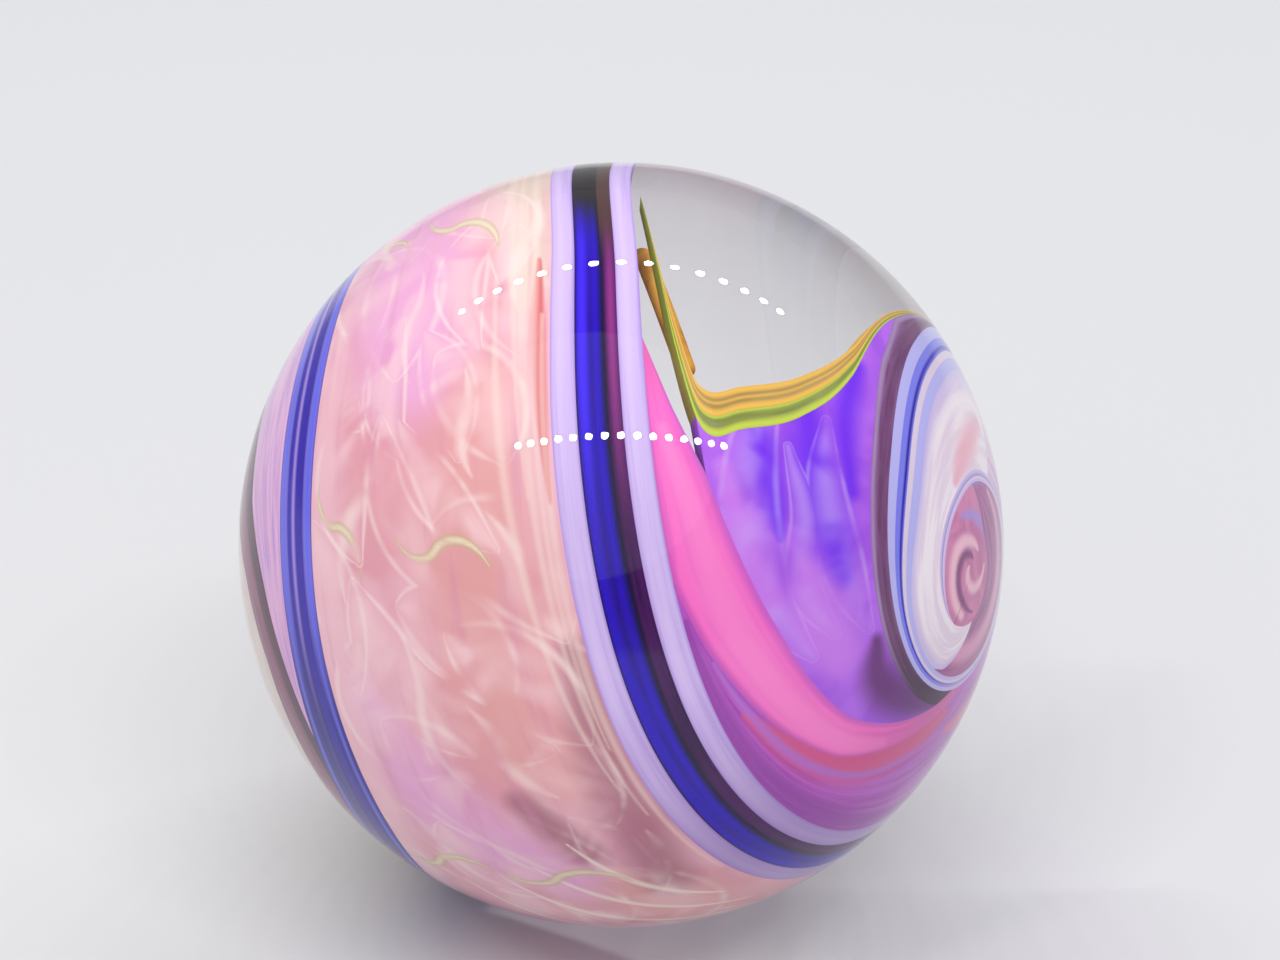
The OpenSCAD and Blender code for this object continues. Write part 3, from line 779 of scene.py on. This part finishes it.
colour = spiral.blend(srgb(174, 94, 154), srgb(150, 74, 138), spiral.streaks(5, 10).ramp(0.4, 0.62))
colour = spiral.blend(colour, srgb(222, 150, 190), spiral.mark("pink").ramp(0, 0.9) * 0.9)
colour = spiral.blend(colour, srgb(156, 148, 226), spiral.mark("blue").ramp(0, 0.9) * 0.85)
spiral.paint(colour)

edge = swirl_line(TIP_START, TIP_START + FULL_TURN)
pink_swirl = piece(
    "pink_spiral", edge, np.repeat(place(0, 0)[None], len(edge), 0), PINK_SWIRL_COLUMNS
)
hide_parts("pink_swirl")
CURL_DARK = [
    [[-30, 1.2, 0.1], [7, 2.3, 0.4], [50, 3.9, 0.55], [90, 4.8, 0.55], [130, 5.4, 0.4], [170, 6.6, 0.12]],
]
CURL_PALE = [[[-60, 3.2, 0.2], [-10, 4, 0.6], [40, 5.6, 0.75], [90, 6.4, 0.7], [140, 7.2, 0.4]],
             [[60, 1.2, 0.2], [120, 2.2, 0.5], [190, 3.4, 0.5], [250, 4.6, 0.2]]]
CURL_BLUE = [[[180, 8.2, 0.2], [220, 7.6, 0.6], [270, 7.2, 0.8], [320, 7.4, 0.7], [360, 8, 0.3]]]
for label, strokes in (("dark", CURL_DARK), ("pale", CURL_PALE), ("blue", CURL_BLUE)):
    brush(pink_swirl, label, bare_off, strokes)
spiral = Glass(pink_swirl)
colour = spiral.blend(srgb(212, 128, 174), srgb(194, 106, 160), spiral.cloud(0.35, 2, 1).ramp(0.4, 0.62))
colour = spiral.blend(colour, srgb(164, 140, 220), spiral.mark("blue").ramp(0, 0.9) * 0.8)
colour = spiral.blend(colour, srgb(244, 196, 212), spiral.mark("pale").ramp(0, 0.9) * 0.85)
colour = spiral.blend(colour, srgb(122, 52, 118), spiral.mark("dark").ramp(0, 0.9) * 0.9)
spiral.paint(colour)

# The glasses on the far side of the ribbon, up to the left-hand pole: violet, a dark plum line, mauve and
# cream. They lie edge to edge with the ribbon and close the ball's left end.
VIOLET_END, PLUM_END, MAUVE_END = -260, -250, -180
VIOLET = [[-500, 3], [-420, 12], [-360, 17], [-300, 11.5], [-285, 6.5], [-270, 2.6], [-260, 0]]
PLUM = [[-500, 5], [-420, 16], [-360, 21], [-300, 16], [-285, 10], [-270, 5.5], [-250, 0]]
MAUVE = [[-500, 7], [-420, 22], [-360, 31], [-300, 25], [-285, 16], [-270, 10.5], [-240, 5], [-180, 0]]
BARE = [[-500, 0], [-180, 0]]
LEFT_COLUMNS, LEFT_ROWS, CREAM_COLUMNS = 36, 360, 60


def left_line(end, table):
    """A line beside the ribbon's outer edge, the table's degrees farther off the pole."""
    t = turns(RIBBON_START, end)
    stations = np.array(table, float)
    return place(t, ribbon_off(t, 0) + np.interp(t, stations[:, 0], stations[:, 1]))


for node, name, end, outer, inner, slot, light, dark, line in (
    ("violet_panel", "violet_glass", VIOLET_END, VIOLET, BARE, "violet",
     srgb(232, 180, 222), srgb(212, 158, 214), srgb(150, 124, 222)),
    ("plum_line", "plum_glass", PLUM_END, PLUM, VIOLET, "plum",
     srgb(84, 12, 60), srgb(44, 2, 36), srgb(126, 34, 96)),
    ("mauve_panel", "mauve_opal", MAUVE_END, MAUVE, PLUM, "mauve",
     srgb(138, 48, 96), srgb(112, 32, 78), srgb(176, 108, 148)),
):
    left_piece = piece(name, left_line(end, outer), left_line(end, inner), LEFT_COLUMNS, LEFT_ROWS)
    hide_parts(node)
    glass = Glass(left_piece)
    colour = glass.blend(light, dark, glass.streaks(9, 6).ramp(0.4, 0.62))
    glass.paint(glass.blend(colour, line, glass.streaks(7, 20).ramp(0.56, 0.68) * 0.6))
edge = left_line(RIBBON_START + FULL_TURN, MAUVE)[::-1]
cream_piece = piece(
    "cream_opal", edge, np.repeat(place(0, 180)[None], len(edge), 0), CREAM_COLUMNS
)
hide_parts("cream_cap")
cream = Glass(cream_piece)
colour = cream.blend(srgb(230, 218, 200), srgb(216, 196, 190), cream.cloud(0.22, 3, 1.5).ramp(0.4, 0.62))
colour = cream.blend(colour, srgb(214, 164, 184), cream.streaks(6, 12).ramp(0.56, 0.7) * 0.6)
cream.paint(colour)

# The clear gather that holds them all: one ball, fire polished, with the colours 0.35 mm under its surface.
# Light passes it unbent on its way to the colours, and only the eye's own rays are bent and mirrored.
GATHER_RINGS, GATHER_SEGMENTS = 128, 256
work = bmesh.new()
bmesh.ops.create_uvsphere(work, u_segments=GATHER_SEGMENTS, v_segments=GATHER_RINGS, radius=BALL_R)
mesh = bpy.data.meshes.new("clear_gather")
work.to_mesh(mesh)
work.free()
mesh.shade_smooth()
gather = bpy.data.objects.new("clear_gather", mesh)
bpy.context.scene.collection.objects.link(gather)
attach(gather, "root")
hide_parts("clear_glass")
clear = Glass(gather)
for socket, value in (
    ("Base Color", (1, 1, 1, 1)), ("Roughness", 0), ("IOR", 1.5), ("Specular IOR Level", 0.5),
    ("Transmission Weight", 1),
):
    clear.body.inputs[socket].default_value = value
shadow, diffuse = (clear.node("LightPath", output=ray) for ray in ("Is Shadow Ray", "Is Diffuse Ray"))
unbent = shadow.math("MAXIMUM", shadow, diffuse)
surface = clear.node("MixShader", {}, {
    0: unbent, 1: Value(clear, clear.body.outputs[0]), 2: clear.node("BsdfTransparent"),
})
clear.tree.links.new(surface.socket, clear.tree.nodes["Material Output"].inputs["Surface"])

# The stage, which is no part of the ball: a plain pale floor that the ball touches, curved up all round into
# a backdrop, and round studio lamps.
FLOOR_COLOUR, FLOOR_SHADE = (0.66, 0.66, 0.67, 1), (0.64, 0.64, 0.65, 1)
FLOOR_R, CURVE_R, CURVE_STEPS, ROUND_STEPS = 0.7, 0.5, 20, 96
profile = [(0, 0)]
for i in range(CURVE_STEPS + 1):
    a = math.pi / 2 * i / CURVE_STEPS
    profile.append((FLOOR_R + CURVE_R * math.sin(a), CURVE_R * (1 - math.cos(a))))
points, faces = [], []
for i, (r, z) in enumerate(profile):
    for j in range(ROUND_STEPS):
        a = 2 * math.pi * j / ROUND_STEPS
        points.append((r * math.cos(a), r * math.sin(a), z - BALL_R))
        if i:
            below, nearby = len(points) - 1 - ROUND_STEPS, (j + 1) % ROUND_STEPS - j
            faces.append((below, below + nearby, len(points) - 1 + nearby, len(points) - 1))
mesh = bpy.data.meshes.new("studio_floor")
mesh.from_pydata(points, [], faces)
mesh.shade_smooth()
floor = bpy.data.objects.new("studio_floor", mesh)
bpy.context.scene.collection.objects.link(floor)
paper = Glass(floor)
paper.body.inputs["Roughness"].default_value = 0.9
paper.paint(paper.blend(FLOOR_COLOUR, FLOOR_SHADE, paper.cloud(0.002)))


def lamp(name, stand, diameter, radiance):
    """A round lamp that faces the ball. Its power is pi times its area times its radiance."""
    data = bpy.data.lights.new(name, "AREA")
    data.shape, data.size = "DISK", diameter
    data.energy = math.pi * math.pi / 4 * diameter ** 2 * radiance
    thing = bpy.data.objects.new(name, data)
    thing.location = stand
    thing.rotation_euler = thing.location.to_track_quat("Z", "Y").to_euler()
    bpy.context.scene.collection.objects.link(thing)


# Two rows of small round lamps overhead, one before the ball and one behind it, and one wide soft disc
ROW_LAMPS, ROW_LAMP_D, ROW_RADIANCE = 15, 0.024, 124
for name, length, y, z in (("back_row", 0.95, 0.32, 0.62), ("front_row", 0.75, -0.36, 0.6)):
    for i in range(ROW_LAMPS):
        x = (i / (ROW_LAMPS - 1) - 0.5) * length
        lamp(f"{name}_{i}", (x, y, z), ROW_LAMP_D, ROW_RADIANCE)
SOFT_DISC_D, SOFT_RADIANCE = 1.1, 0.4
lamp("soft_disc", (-0.12, -0.42, 0.6), SOFT_DISC_D, SOFT_RADIANCE)
WORLD_COLOUR, WORLD_STRENGTH = (0.93, 0.95, 1, 1), 0.4
world = bpy.data.worlds.new("studio")
world.use_nodes = True
world.node_tree.nodes["Background"].inputs["Color"].default_value = WORLD_COLOUR
world.node_tree.nodes["Background"].inputs["Strength"].default_value = WORLD_STRENGTH
bpy.context.scene.world = world
bpy.context.scene.view_settings.view_transform = "Standard"
